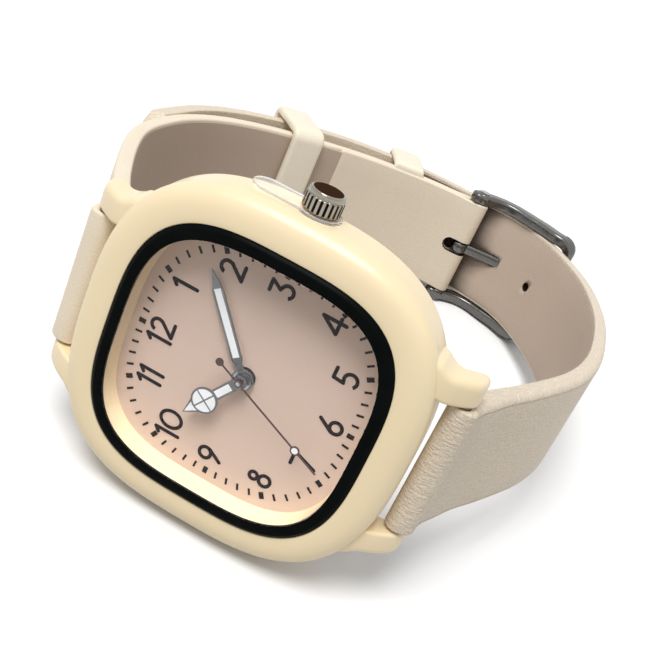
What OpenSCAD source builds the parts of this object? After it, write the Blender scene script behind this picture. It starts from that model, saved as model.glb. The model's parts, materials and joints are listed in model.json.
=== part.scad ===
// Square-cushion quartz wristwatch on a buckled leather strap, millimetres.
// Every module is drawn in the watch frame: +X to 3 o'clock, +Y to 12 o'clock,
// +Z out of the dial, with the middle of the dial face at zero.
// place() stands the watch on its 9 o'clock side, leaning back on the buckle.

/* [Case] */
// Half width of the case across the flat sides
case_half = 18; // [17.8:0.1:18.4]
// Squareness of the case outline
case_square = 2.76; // [2.6:0.02:3.0]
// Radius of the rounded top edge of the case
edge_r = 2; // [1.6:0.1:2.2]
// Height of the flat bezel face above the dial
bezel_z = 3; // [2.8:0.1:3.1]

/* [Glass] */
// Width of the case face round the black ring
bezel_w = 3.7; // [3.5:0.1:3.8]
// Width of the black ring round the crystal
ring_w = 1.42; // [1.4:0.02:1.6]
// Height of the crystal's top face above the dial
crystal_z = 3.3; // [3.2:0.1:3.5]

/* [Hands] */
// Hour-hand angle clockwise from 12
hour_angle = 304.2; // [0:0.1:360]
// Minute-hand angle clockwise from 12
minute_angle = 52.2; // [0:0.1:360]
// Seconds-hand angle clockwise from 12
seconds_angle = 204; // [0:0.5:360]
// Length of the minute hand
minute_len = 11.3; // [10:0.1:11.8]
// Length of the hour hand
hour_len = 7.4; // [6.8:0.1:8]
// Length of the seconds hand
seconds_len = 11.5; // [10.5:0.1:11.8]

/* [Crown] */
// Radius of the crown over its flutes
crown_r = 1.9; // [1.7:0.05:2.1]
// Number of flutes
flutes = 22; // [16:1:28]

/* [Strap] */
// Width of the strap
strap_w = 15.3; // [14.8:0.1:15.4]
// Thickness of the outer leather
leather_t = 1.2; // [1.0:0.1:1.2]
// Thickness of the lining
lining_t = 0.7; // [0.5:0.1:0.7]
// Distance between buckle holes along the strap
hole_pitch = 7.2; // [6:0.1:7.4]

/* [Hidden] */

// Standing pose: lean angle and the back face that is the row's origin.
lean = 7.7;
back_z = -4.4;

// Case.
wall_z = -3.06;
edge_steps = 6;
foot_r = 0.5;
case_n = 96;
ring_half = case_half - bezel_w;
ring_square = 3.2;
rebate_half = ring_half + 0.02;
shelf_z = 1.85;
flange_w = 1.3;
aperture_half = ring_half - flange_w;
aperture_square = 3.3;
wall_t = 2.8;
cavity_half = case_half - wall_t;
cavity_square = 3;
cut = 0.5;
run_gap = 0.05;

// Lugs and spring bars.
strap_gap = 0.25;
lug_in = strap_w / 2 + strap_gap;
lug_w = 2.4;
lug_out = lug_in + lug_w;
lug_flare = 1.6;
lug_root = lug_out + lug_flare;
lug_reach = 2.95;
lug_tip = case_half + lug_reach;
lug_start = case_half - 3.2;
lug_top = 2.3;
lug_low = -4.05;
bar_y = lug_tip - 1.25;
bar_z = -1.9;
bar_r = 0.75;
bar_end_gap = 0.15;
bar_len = 2 * (lug_in - bar_end_gap);
bar_tip_r = 0.4;
bar_tip_len = 1.1;
bar_hole_r = 0.42;
bar_hole_len = 1.2;

// Glass.
crystal_half = ring_half - ring_w;
ring_in = crystal_half + 0.02;
ledge_w = 0.25;
ledge_half = ring_in - ledge_w;
ledge_t = 0.25;
ring_bevel = 0.35;

// Dial and its print.
dial_edge = 0.6;
dial_half = aperture_half + dial_edge;
dial_t = 0.4;
dial_bore_r = 1.12;
print_t = 0.04;
foot_post_r = 0.4;
foot_post_len = 1;
foot_at = [8.3, 3];
track_in = 1.6;
track_half = aperture_half - track_in;
track_square = 3;
tick_len = 0.75;
tick_w = 0.23;
hour_tick_w = 0.5;
num_h = 2.7;
num_stroke = 0.38;

// Back.
back_step = 1.4;
back_half = case_half - back_step;
back_inner_z = -3.6;
snap_gap = 0.08;
snap_out = cavity_half - snap_gap;
snap_t = 0.82;
snap_in = snap_out - snap_t;
snap_top = -2.3;
gasket_t = 0.3;

// Movement.
move_x = 8.9;
move_y = 7.65;
plate_top = -0.45;
plate_t = 1.25;
holder_gap = 0.05;
holder_half = snap_in - holder_gap;
board_t = 0.2;
cell_r = 3.4;
cell_h = 2.6;
cell_at = [-4.4, -3.2];
coil_r = 0.7;
coil_len = 8.2;
coil_at = [4.1, -5.6];
rotor_bore = 0.75;
bridge_z = -2.65;
bridge_t = 0.4;
post_r = 0.5;

// Crown and stem.
stem_z = -1;
stem_r = 0.4;
stem_square = 0.44;
tube_r = 1.1;
tube_bore = stem_r + run_gap;
tube_start = cavity_half - 0.05;
shim_r = 2.25;
shim_x = [case_half + 0.03, case_half + 0.3];
shim_tab = [5.2, -2.8, 0.6];
crown_gap = 0.4;
crown_x = case_half + crown_gap;
crown_len = 2.1;
crown_end = crown_x + crown_len;
tube_end = crown_x + 1.15;
crown_bore = 1.4;
crown_bore_end = crown_x + 1.3;
flute_depth = 0.17;
gasket_gap = 0.05;
crown_gasket_t = 0.4;
pinion_x = 6.2;
pinion_len = 1.2;
pinion_r = 0.56;
tooth_depth = 0.1;
pinion_teeth = 12;

// Hands.
minute_z = 0.5;
hour_z = 1.2;
seconds_z = 1.6;
hand_t = 0.15;
seconds_t = 0.1;
minute_boss_r = 1.15;
minute_pipe_r = 0.95;
hour_boss_r = 0.75;
hour_pipe_r = 0.55;
hour_bore = 0.28;
arbor_r = 0.22;
seconds_hub_r = 0.42;
minute_w = 1.15;
minute_rim = 0.22;
minute_tip = 2.2;
hour_w = 1.15;
hour_disc_at = 4.55;
hour_disc_r = 1.42;
hour_rim = 0.2;
rib_w = 0.16;
lume_ring_at = 8.45;
lume_ring_r = 0.5;
lume_dot_r = 0.34;
weight_at = 2.75;
weight_r = 0.42;
seconds_w = 0.16;

// Strap: where the inner face runs, in the plane across 12 and 6 o'clock.
strap_t = leather_t + lining_t;
path_12 = [
    [bar_y - 0.95, -2.2], [bar_y - 0.4, -5], [bar_y + 1.2, -8.4], [bar_y + 4.1, -13.6],
    [27.2, -21], [29.2, -27],
    [29.6, -32.5], [28.9, -38.8], [26.5, -45], [22.2, -50.7], [16.1, -56.2], [9, -61],
    [1.5, -64.3], [-4, -65.7], [-8.4, -65.9]
];
path_6 = [
    [0.95 - bar_y, -2.2], [0.3 - bar_y, -4.6], [-1.6 - bar_y, -8], [-4.9 - bar_y, -14],
    [-28.2, -22],
    [-29.9, -29.5], [-30.1, -38], [-29.2, -46.2], [-26.7, -54.7], [-23.1, -61],
    [-18.9, -65.9], [-14.4, -68.3], [-8.3, -69.1], [-1.5, -69.3], [5, -68.4],
    [11.4, -66.2], [16.9, -62.8], [21.6, -58.6], [25.6, -54], [28.7, -49],
    [30.5, -43.8], [31.3, -38.5], [31.7, -34.5], [31.75, -30.5]
];
path_steps = 4;
roll_r = 1.35;
roll_bore = 0.8;
lining_start = 4;
fold_from = 42;
tail_point = 5;
tail_flat = 2.5;

// Buckle, keepers.
pivot = [-8.3, -67.2];
pivot_r = 0.75;
catch_at = [-23.5, -66.3];
catch_r = 0.9;
arm_in = strap_w / 2 + strap_gap;
arm_w = 1.6;
arm_out = arm_in + arm_w;
arm_t = 2.2;
eye_r = 1.25;
tongue_w = 1.6;
tongue_t = 0.9;
tongue_gap = 0.4;
hole_r = 0.9;
holes_lug_side = 1;
holes_tip_side = 5;
tongue_sample = 44;
keeper_t = 1.2;
keeper_side_gap = 0.35;
keeper_len = 4.8;
keeper_round = 1.2;
keeper_under = 0.4;
fixed_over = 7.6;
free_over = 7.8;
fixed_at = 47;
free_at = 39;

// Shared shapes and curves.

module place() {
    rotate([-lean, 0, 0])
        multmatrix([[0, -1, 0, 0], [0, 0, -1, back_z], [1, 0, 0, 0], [0, 0, 0, 1]])
            children();
}

function cushion_r(a, half, sq) =
    half * pow(pow(abs(cos(a)), sq) + pow(abs(sin(a)), sq), -1 / sq);
function cushion(half, sq, n = case_n) =
    [for (i = [0:n - 1]) let (a = 360 * i / n, r = cushion_r(a, half, sq))
        [r * cos(a), r * sin(a)]];

module slab(half, sq, z0, z1) {
    translate([0, 0, z0])
        linear_extrude(height = z1 - z0)
            polygon(cushion(half, sq));
}

function spline_at(p, i, t) =
    let (n = len(p) - 1, a = p[max(i - 1, 0)], b = p[i], c = p[min(i + 1, n)],
        d = p[min(i + 2, n)])
    0.5 * (2 * b + (c - a) * t + (2 * a - 5 * b + 4 * c - d) * t * t
        + (3 * b - a - 3 * c + d) * t * t * t);
function spline(p) =
    [for (k = [0:(len(p) - 1) * path_steps]) let (i = min(floor(k / path_steps), len(p) - 2))
        spline_at(p, i, k / path_steps - i)];
function turn(v, side) = side * [-v[1], v[0]] / norm(v);
function away(c, k, side) =
    let (n = len(c) - 1) turn(c[min(k + 1, n)] - c[max(k - 1, 0)], side);

curve_12 = spline(path_12);
curve_6 = spline(path_6);

// The part of a strap between two depths, from one sample of its curve to another.
module ribbon(c, side, d0, d1, k0, k1) {
    polygon(concat([for (k = [k0:k1]) c[k] + d0 * away(c, k, side)],
        [for (k = [k1:-1:k0]) c[k] + d1 * away(c, k, side)]));
}

// Turns a drawing in the plane across 12 and 6 o'clock into a bar w wide along X.
module across(w) {
    rotate([90, 0, 90])
        translate([0, 0, -w / 2])
            linear_extrude(height = w)
                children();
}

// Extrudes each drawing on its own, so that they join as solids.
module plates(t) {
    for (i = [0:$children - 1])
        linear_extrude(height = t)
            children(i);
}

module bars(w) {
    for (i = [0:$children - 1])
        across(w)
            children(i);
}

module round_bar(at, r, x0, x1) {
    translate([x0, at[0], at[1]])
        rotate([0, 90, 0])
            cylinder(r = r, h = x1 - x0, $fn = 48);
}

module stroke(a, b, w) {
    d = b - a;
    translate(a)
        rotate(atan2(d[1], d[0]))
            translate([0, -w / 2])
                square([norm(d), w]);
    translate(a)
        circle(d = w, $fn = 16);
    translate(b)
        circle(d = w, $fn = 16);
}

// Case.

function case_ring(half, sq, z) = [for (p = cushion(half, sq)) [p[0], p[1], z]];

top_half = case_half - edge_r;
top_z = bezel_z - edge_r;
case_profile = concat(
    [[cavity_half, cavity_square, wall_z]],
    [for (i = [0:2]) let (a = 30 * i) [case_half - foot_r + foot_r * sin(a + 30),
        case_square, wall_z + foot_r - foot_r * cos(a + 30)]],
    [for (i = [0:edge_steps]) let (a = 90 * i / edge_steps) [top_half + edge_r * cos(a),
        case_square + (ring_square - case_square) * i / edge_steps, top_z + edge_r * sin(a)]],
    [[rebate_half, ring_square, bezel_z], [rebate_half, ring_square, shelf_z],
        [aperture_half, aperture_square, shelf_z], [aperture_half, aperture_square, 0],
        [cavity_half, cavity_square, 0]]
);

module case_shell() {
    rows = len(case_profile);
    polyhedron(
        points = [for (p = case_profile) each case_ring(p[0], p[1], p[2])],
        faces = [for (r = [0:rows - 1], i = [0:case_n - 1])
            let (s = (r + 1) % rows, j = (i + 1) % case_n,
                a = r * case_n + i, b = r * case_n + j, c = s * case_n + j, d = s * case_n + i)
            each [[a, c, b], [a, d, c]]],
        convexity = 6
    );
}

function bez(a, b, c, n) =
    [for (i = [0:n]) let (t = i / n) a * (1 - t) * (1 - t) + b * 2 * t * (1 - t) + c * t * t];

module lug_side() {
    polygon(concat([[lug_start, lug_top], [lug_start + 0.6, lug_top - 0.1]],
        bez([lug_start + 1.4, lug_top - 0.25], [lug_tip - 0.55, 1.5], [lug_tip, -2], 8),
        bez([lug_tip, -2.4], [lug_tip, lug_low], [lug_tip - 1.05, lug_low], 6),
        bez([lug_tip - 1.55, -3.9], [lug_tip - 2.75, -2.3], [lug_start + 0.6, -2.5], 6),
        [[lug_start, -2.5]]));
}

module lug_plan() {
    polygon(concat([[lug_in, lug_start], [lug_in, lug_tip + 0.1], [lug_out - 0.5, lug_tip + 0.1],
        [lug_out, lug_tip - 0.6]],
        bez([lug_out + 0.05, lug_tip - 1.95], [lug_out + 0.2, lug_tip - 4.55],
            [lug_root, lug_start - 0.4], 8),
        [[lug_root, lug_start - 1.2]]));
}

// Cross-section of a lug, with its outer top edge well rounded.
module lug_end() {
    polygon(concat([[lug_in - cut, lug_low - cut], [lug_in - cut, lug_top + cut],
        [lug_in + 0.7, lug_top]],
        bez([lug_in + 0.9, lug_top - 0.05], [lug_out, lug_top - 0.2], [lug_out, -1.2], 8),
        bez([lug_out, -1.5], [lug_out, -2.1], [lug_root, -2.3], 4),
        [[lug_root, lug_low - cut]]));
}

module lug() {
    intersection() {
        rotate([90, 0, 0])
            translate([0, 0, -lug_tip - cut])
                linear_extrude(height = lug_tip)
                    lug_end();
        translate([0, 0, lug_low - cut])
            linear_extrude(height = lug_top - lug_low + 2 * cut)
                lug_plan();
        translate([lug_root / 2 + lug_in / 2, 0, 0])
            across(lug_root - lug_in + 2 * cut)
                lug_side();
    }
}

module mid_case() {
    color("blanchedalmond")
        difference() {
            union() {
                case_shell();
                for (sx = [0, 1], sy = [0, 1])
                    mirror([sx, 0, 0])
                        mirror([0, sy, 0])
                            lug();
            }
            for (sy = [-1, 1], sx = [0, 1])
                mirror([sx, 0, 0])
                    round_bar([sy * bar_y, bar_z], bar_hole_r, lug_in - cut,
                        lug_in + bar_hole_len);
            round_bar([0, stem_z], tube_r + 0.02, cavity_half - 1.2, case_half + cut);
        }
}

// Glass.

module glass_ring() {
    color("black")
        difference() {
            union() {
                slab(ring_half, ring_square, shelf_z, crystal_z - ring_bevel);
                slab(ring_half - ring_bevel, ring_square, crystal_z - ring_bevel, crystal_z);
            }
            slab(ring_in, aperture_square, shelf_z + ledge_t, crystal_z + cut);
            slab(ledge_half, aperture_square, shelf_z - cut, crystal_z);
        }
}

module crystal() {
    color("lightcyan", 0.3)
        slab(crystal_half, aperture_square, shelf_z + ledge_t, crystal_z);
}

// Dial.

module dial() {
    color("mistyrose")
        difference() {
            slab(dial_half, cavity_square, -dial_t, 0);
            translate([0, 0, -dial_t - cut])
                cylinder(r = dial_bore_r, h = dial_t + 2 * cut, $fn = 48);
        }
}

module dial_feet() {
    color("goldenrod")
        for (s = [-1, 1])
            translate([s * foot_at[0], s * foot_at[1], -dial_t - foot_post_len])
                cylinder(r = foot_post_r, h = foot_post_len, $fn = 24);
}

// Numerals drawn as strokes and rings in a cell num_h tall.
module ring2d(r, w) {
    difference() {
        circle(r = r, $fn = 40);
        circle(r = r - w, $fn = 40);
    }
}

module arc2d(r, w, a0, a1) {
    n = 14;
    polygon(concat([for (i = [0:n]) let (a = a0 + (a1 - a0) * i / n) r * [cos(a), sin(a)]],
        [for (i = [n:-1:0]) let (a = a0 + (a1 - a0) * i / n) (r - w) * [cos(a), sin(a)]]));
}

module one() {
    stroke([0.12, -num_h / 2], [0.12, num_h / 2 - 0.1], num_stroke);
    stroke([0.12, num_h / 2 - 0.1], [-0.36, num_h / 2 - 0.55], num_stroke);
}

module two() {
    translate([0, 0.58])
        arc2d(0.8, num_stroke, -38, 170);
    stroke([0.52, 0.18], [-0.7, -1.2], num_stroke);
    stroke([-0.7, -1.2], [0.75, -1.2], num_stroke);
}

module three() {
    translate([0, -0.52])
        arc2d(0.82, num_stroke, -155, 88);
    stroke([-0.58, 1.2], [0.55, 1.2], num_stroke);
    stroke([0.55, 1.2], [-0.08, 0.2], num_stroke);
}

module four() {
    stroke([0.4, -1.2], [0.4, 1.2], num_stroke);
    stroke([0.4, 1.2], [-0.8, -0.55], num_stroke);
    stroke([-0.8, -0.55], [0.85, -0.55], num_stroke);
}

module five() {
    translate([-0.05, -0.45])
        arc2d(0.88, num_stroke, -140, 125);
    stroke([-0.48, 1.2], [0.6, 1.2], num_stroke);
    stroke([-0.48, 1.2], [-0.58, 0.12], num_stroke);
}

module six() {
    translate([0, -0.52])
        ring2d(0.82, num_stroke);
    stroke([-0.6, -0.2], [0.3, 1.25], num_stroke);
}

module seven() {
    stroke([-0.7, 1.2], [0.72, 1.2], num_stroke);
    stroke([0.72, 1.2], [-0.2, -1.25], num_stroke);
}

module eight() {
    translate([0, -0.55])
        ring2d(0.8, num_stroke);
    translate([0, 0.72])
        ring2d(0.62, num_stroke);
}

module nine() {
    rotate(180)
        six();
}

module zero() {
    difference() {
        scale([0.82, 1])
            circle(d = num_h, $fn = 48);
        scale([0.76, 1])
            circle(d = num_h - 2 * num_stroke, $fn = 48);
    }
}

module numeral(k) {
    if (k == 1) one();
    if (k == 2) two();
    if (k == 3) three();
    if (k == 4) four();
    if (k == 5) five();
    if (k == 6) six();
    if (k == 7) seven();
    if (k == 8) eight();
    if (k == 9) nine();
    if (k == 10) {
        translate([-1.15, 0])
            one();
        translate([0.5, 0])
            zero();
    }
    if (k == 11) {
        translate([-0.45, 0])
            one();
        translate([0.6, 0])
            one();
    }
    if (k == 12) {
        translate([-0.95, 0])
            one();
        translate([0.45, 0])
            two();
    }
}

num_at = [
    [5.7, 9], [9.6, 5.2], [10.2, 0], [9.6, -5.7], [5.3, -9], [0, -9.65],
    [-5.2, -8.8], [-9.4, -5.5], [-9.9, 0.2], [-9, 5.3], [-5.3, 9.05], [0, 9.6]
];

module numerals() {
    color("saddlebrown")
        linear_extrude(height = print_t)
            for (k = [1:12])
                translate(num_at[k - 1])
                    numeral(k);
}

module minute_track() {
    color("saddlebrown")
        linear_extrude(height = print_t)
            for (m = [0:59]) {
                a = 90 - 6 * m;
                w = m % 5 == 0 ? hour_tick_w : tick_w;
                rotate(a)
                    translate([cushion_r(a, track_half, track_square), -w / 2])
                        square([tick_len, w]);
            }
}

// Back and movement.

module case_back() {
    color("silver")
        difference() {
            union() {
                slab(back_half, cavity_square, back_z, wall_z);
                slab(snap_out, cavity_square, wall_z - 0.1, snap_top);
            }
            slab(snap_in, cavity_square, back_inner_z, snap_top + cut);
        }
}

module back_gasket() {
    color("dimgray")
        difference() {
            slab(snap_out, cavity_square, snap_top, snap_top + gasket_t);
            slab(snap_in, cavity_square, snap_top - cut, snap_top + gasket_t + cut);
        }
}

module plate_block(x, y, z0, z1) {
    translate([-x, -y, z0])
        cube([2 * x, 2 * y, z1 - z0]);
}

module movement_holder() {
    color("whitesmoke")
        difference() {
            slab(holder_half, cavity_square, back_inner_z, -dial_t);
            plate_block(move_x + holder_gap, move_y + holder_gap, back_inner_z - cut, cut);
            for (s = [-1, 1])
                translate([s * foot_at[0], s * foot_at[1], back_inner_z - cut])
                    cylinder(r = foot_post_r + holder_gap, h = 4, $fn = 24);
            round_bar([0, stem_z], tube_bore + 0.1, move_x - cut, cavity_half);
        }
}

module cell_hole(gap) {
    translate([cell_at[0], cell_at[1], -6])
        cylinder(r = cell_r + gap, h = 6 + cut, $fn = 64);
}

module main_plate() {
    color("gainsboro")
        difference() {
            plate_block(move_x, move_y, plate_top - plate_t, plate_top);
            translate([0, 0, -3])
                cylinder(r = minute_pipe_r + run_gap, h = 4, $fn = 48);
            for (s = [-1, 1])
                translate([s * foot_at[0], s * foot_at[1], -3])
                    cylinder(r = foot_post_r + holder_gap, h = 4, $fn = 24);
            cell_hole(0.1);
            round_bar([0, stem_z], stem_r + run_gap, pinion_x - 1.4, move_x + cut);
            round_bar([0, stem_z], pinion_r + 0.15, pinion_x - 0.1, pinion_x + pinion_len + 0.1);
        }
}

module circuit_board() {
    color("darkgreen")
        difference() {
            translate([0, 0, plate_top - plate_t - board_t])
                linear_extrude(height = board_t)
                    difference() {
                        translate([-move_x + 0.2, -move_y + 0.2])
                            square([2 * move_x - 0.4, 6.6]);
                        translate([coil_at[0] - coil_len / 2 - 0.3, coil_at[1] - 1])
                            square([coil_len + 0.6, 2]);
                    }
            cell_hole(0.1);
        }
}

module battery() {
    color("silver")
        translate([cell_at[0], cell_at[1], back_inner_z + 0.1]) {
            cylinder(r = cell_r, h = cell_h - 0.3, $fn = 64);
            cylinder(r = cell_r - 0.4, h = cell_h, $fn = 64);
        }
}

module battery_clamp() {
    color("gold")
        difference() {
            translate([cell_at[0] - cell_r - 0.95, cell_at[1] - 0.6,
                plate_top - plate_t - board_t - 0.2])
                cube([0.7, 1.2, 0.2]);
            cell_hole(0.1);
        }
}

module coil() {
    color("chocolate")
        translate([coil_at[0] - coil_len / 2, coil_at[1], plate_top - plate_t - coil_r])
            rotate([0, 90, 0])
                cylinder(r = coil_r, h = coil_len, $fn = 32);
}

module stator() {
    color("slategray")
        difference() {
            translate([-1.5, 2.2, plate_top - plate_t - 0.5])
                cube([9.5, 3.2, 0.5]);
            translate([5.6, 3.8, -4])
                cylinder(r = rotor_bore, h = 4, $fn = 32);
        }
}

module train_bridge() {
    color("lightgray")
        difference() {
            union() {
                translate([-move_x + 0.3, 1, bridge_z - bridge_t])
                    cube([2 * move_x - 0.6, move_y - 1.3, bridge_t]);
                for (p = [[-7.8, 1.9], [-7.8, 6.4], [7.9, 6.4]])
                    translate([p[0], p[1], bridge_z])
                        cylinder(r = post_r, h = plate_top - plate_t - bridge_z, $fn = 24);
            }
            cell_hole(0.15);
        }
}

// Crown and stem.

module along_stem(x0) {
    translate([x0, 0, stem_z])
        rotate([0, 90, 0])
            children();
}

module crown_tube() {
    color("silver")
        difference() {
            round_bar([0, stem_z], tube_r, tube_start, tube_end);
            round_bar([0, stem_z], tube_bore, cavity_half - 1, tube_end + cut);
        }
}

// Clear shim between the crown and the case, with a round-ended tab towards 12.
module crown_shim() {
    mid = (shim_tab[1] + shim_tab[2]) / 2;
    half = (shim_tab[2] - shim_tab[1]) / 2;
    color("white", 0.5)
        difference() {
            union() {
                round_bar([0, stem_z], shim_r, shim_x[0], shim_x[1]);
                translate([shim_x[0], 0, shim_tab[1]])
                    cube([shim_x[1] - shim_x[0], shim_tab[0], 2 * half]);
                round_bar([shim_tab[0], mid], half, shim_x[0], shim_x[1]);
            }
            round_bar([0, stem_z], tube_r + run_gap, case_half - cut, crown_x);
        }
}

module setting_pinion() {
    color("silver")
        along_stem(pinion_x)
            difference() {
                linear_extrude(height = pinion_len)
                    polygon([for (i = [0:2 * pinion_teeth - 1])
                        let (a = 180 * i / pinion_teeth, r = pinion_r - (i % 2) * tooth_depth)
                        r * [cos(a), sin(a)]]);
                translate([-stem_square / 2 - run_gap, -stem_square / 2 - run_gap, -cut])
                    cube([stem_square + 2 * run_gap, stem_square + 2 * run_gap,
                        pinion_len + 2 * cut]);
            }
}

module stem() {
    color("silver")
        along_stem(0) {
            translate([0, 0, pinion_x + pinion_len + 0.1])
                cylinder(r = stem_r, h = crown_bore_end - pinion_x - pinion_len - 0.1, $fn = 32);
            translate([-stem_square / 2, -stem_square / 2, pinion_x - 1.2])
                cube([stem_square, stem_square, pinion_len + 1.6]);
        }
}

module crown() {
    tooth = 360 / flutes;
    color("silver")
        along_stem(crown_x)
            difference() {
                union() {
                    linear_extrude(height = crown_end - crown_x - 0.55)
                        polygon([for (i = [0:flutes - 1],
                            p = [[0, 0], [0.3, 0], [0.45, 1], [0.85, 1]])
                            let (a = tooth * (i + p[0]), r = crown_r - flute_depth * p[1])
                            r * [cos(a), sin(a)]]);
                    cylinder(r = crown_r - 0.12, h = crown_end - crown_x - 0.3, $fn = 64);
                    cylinder(r = crown_r - 0.3, h = crown_end - crown_x, $fn = 64);
                }
                translate([0, 0, -cut])
                    cylinder(r = crown_bore, h = crown_bore_end - crown_x + cut, $fn = 48);
            }
}

module crown_gasket() {
    color("dimgray")
        along_stem(crown_x + gasket_gap)
            difference() {
                cylinder(r = crown_bore, h = crown_gasket_t, $fn = 48);
                translate([0, 0, -cut])
                    cylinder(r = tube_r + 0.03, h = crown_gasket_t + 2 * cut, $fn = 48);
            }
}

// Hands.

module at_angle(clock, z) {
    translate([0, 0, z])
        rotate(-clock)
            children();
}

module minute_outline() {
    shoulder = minute_len - minute_tip;
    polygon([[0.36, 0], [0.36, 1.6], [minute_w / 2, 2.1], [minute_w / 2, shoulder],
        [0, minute_len], [-minute_w / 2, shoulder], [-minute_w / 2, 2.1], [-0.36, 1.6],
        [-0.36, 0]]);
}

module minute_window() {
    translate([-minute_w / 2 + minute_rim, 2.3])
        square([minute_w - 2 * minute_rim, minute_len - minute_tip - 2.1]);
}

module minute_hand() {
    color("dimgray")
        at_angle(minute_angle, minute_z)
            difference() {
                plates(hand_t) {
                    minute_outline();
                    circle(r = minute_boss_r, $fn = 48);
                }
                translate([0, 0, -cut])
                    plates(hand_t + 2 * cut) {
                        minute_window();
                        circle(r = minute_pipe_r, $fn = 48);
                    }
            }
}

module minute_lume() {
    color("white")
        at_angle(minute_angle, minute_z)
            linear_extrude(height = hand_t)
                minute_window();
}

module pipe(r_out, r_in, z0, z1) {
    translate([0, 0, z0])
        difference() {
            cylinder(r = r_out, h = z1 - z0, $fn = 48);
            translate([0, 0, -cut])
                cylinder(r = r_in, h = z1 - z0 + 2 * cut, $fn = 48);
        }
}

module minute_pipe() {
    color("silver")
        pipe(minute_pipe_r, hour_pipe_r + run_gap, plate_top - plate_t, minute_z + 0.35);
}

module hour_outline() {
    plates(hand_t) {
        translate([-hour_w / 2, 0])
            square([hour_w, hour_disc_at]);
        circle(r = hour_boss_r, $fn = 48);
        translate([0, hour_disc_at])
            circle(r = hour_disc_r, $fn = 64);
        polygon([[0.95, hour_disc_at + 0.9], [0, hour_len], [-0.95, hour_disc_at + 0.9]]);
    }
}

module hour_windows() {
    translate([-hour_w / 2 + hour_rim, 1.15])
        square([hour_w - 2 * hour_rim, hour_disc_at - hour_disc_r - 1.25]);
    difference() {
        translate([0, hour_disc_at])
            circle(r = hour_disc_r - hour_rim, $fn = 64);
        translate([-rib_w / 2, 0])
            square([rib_w, hour_len]);
        translate([-hour_disc_r, hour_disc_at - rib_w / 2])
            square([2 * hour_disc_r, rib_w]);
    }
    difference() {
        polygon([[0.62, hour_disc_at + 1.1], [0, hour_len - 0.25], [-0.62, hour_disc_at + 1.1]]);
        translate([0, hour_disc_at])
            circle(r = hour_disc_r, $fn = 64);
    }
}

module hour_hand() {
    color("dimgray")
        at_angle(hour_angle, hour_z)
            difference() {
                hour_outline();
                translate([0, 0, -cut])
                    plates(hand_t + 2 * cut) {
                        hour_windows();
                        circle(r = hour_pipe_r, $fn = 48);
                    }
            }
}

module hour_lume() {
    color("white")
        at_angle(hour_angle, hour_z)
            linear_extrude(height = hand_t)
                hour_windows();
}

module hour_pipe() {
    color("silver")
        pipe(hour_pipe_r, hour_bore, plate_top - plate_t, hour_z + 0.25);
}

module seconds_hand() {
    color("saddlebrown")
        at_angle(seconds_angle, seconds_z)
            linear_extrude(height = seconds_t)
                difference() {
                    union() {
                        translate([-seconds_w / 2, -weight_at])
                            square([seconds_w, weight_at + seconds_len]);
                        circle(r = seconds_hub_r, $fn = 40);
                        translate([0, lume_ring_at])
                            circle(r = lume_ring_r, $fn = 40);
                        translate([0, -weight_at])
                            circle(r = weight_r, $fn = 40);
                    }
                    translate([0, lume_ring_at])
                        circle(r = lume_dot_r, $fn = 40);
                    circle(r = arbor_r, $fn = 40);
                }
}

module seconds_lume() {
    color("white")
        at_angle(seconds_angle, seconds_z)
            linear_extrude(height = seconds_t)
                translate([0, lume_ring_at])
                    circle(r = lume_dot_r, $fn = 40);
}

module seconds_arbor() {
    color("silver")
        translate([0, 0, plate_top - plate_t])
            cylinder(r = arbor_r, h = seconds_z + seconds_t + 0.1 - plate_top + plate_t, $fn = 32);
}

// Strap.

module disc_at(p, r) {
    translate(p)
        circle(r = r, $fn = 48);
}

// A point of a curve, k counted in samples and parts of a sample.
function point(c, k) = let (i = min(floor(k), len(c) - 2)) c[i] + (k - i) * (c[i + 1] - c[i]);

// Sets children() square to the strap at one place of its curve.
module on_curve(c, k, side) {
    n = away(c, round(k), side);
    p = point(c, k);
    translate([0, p[0], p[1]])
        rotate([atan2(n[1], n[0]) - 90, 0, 0])
            children();
}

module spring_bars() {
    color("silver")
        for (s = [-1, 1]) {
            round_bar([s * bar_y, bar_z], bar_r, -bar_len / 2, bar_len / 2);
            round_bar([s * bar_y, bar_z], bar_tip_r, -bar_len / 2 - bar_tip_len,
                bar_len / 2 + bar_tip_len);
        }
}

last_12 = len(curve_12) - 1;
last_6 = len(curve_6) - 1;

// Place on the 6 o'clock strap's curve of hole i, counted from the tongue's.
function run(c, k) = k <= 0 ? 0 : norm(c[k] - c[k - 1]) + run(c, k - 1);
function first_past(c, s, k = 1) = k >= len(c) - 1 || run(c, k) >= s ? k : first_past(c, s, k + 1);
function place_at(c, s) = let (k = first_past(c, s)) k - (run(c, k) - s) / norm(c[k] - c[k - 1]);
function hole_place(i) = place_at(curve_6, run(curve_6, tongue_sample) + i * hole_pitch);

module strap_12_leather() {
    color("antiquewhite")
        difference() {
            across(strap_w)
                difference() {
                    union() {
                        ribbon(curve_12, 1, lining_t, strap_t, 0, last_12);
                        ribbon(curve_12, 1, 0, lining_t, fold_from, last_12);
                        disc_at([bar_y, bar_z], roll_r);
                        disc_at(pivot, roll_r);
                    }
                    disc_at([bar_y, bar_z], roll_bore);
                    disc_at(pivot, roll_bore);
                }
            across(tongue_w + 2 * tongue_gap)
                translate([pivot[0] - 2, pivot[1] - 2])
                    square([5, 5]);
        }
}

module strap_12_lining() {
    color("tan")
        across(strap_w)
            ribbon(curve_12, 1, 0, lining_t, lining_start, fold_from);
}

// Cuts the corners off the strap's end, leaving a blunt point.
module tail_cut() {
    on_curve(curve_6, last_6, -1)
        for (s = [-1, 1])
            translate([0, 0, -roll_r])
                linear_extrude(height = 4 * roll_r)
                    polygon([[s * tail_flat, -cut], [s * strap_w, -cut],
                        [s * strap_w, tail_point], [s * strap_w / 2, tail_point]]);
}

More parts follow.
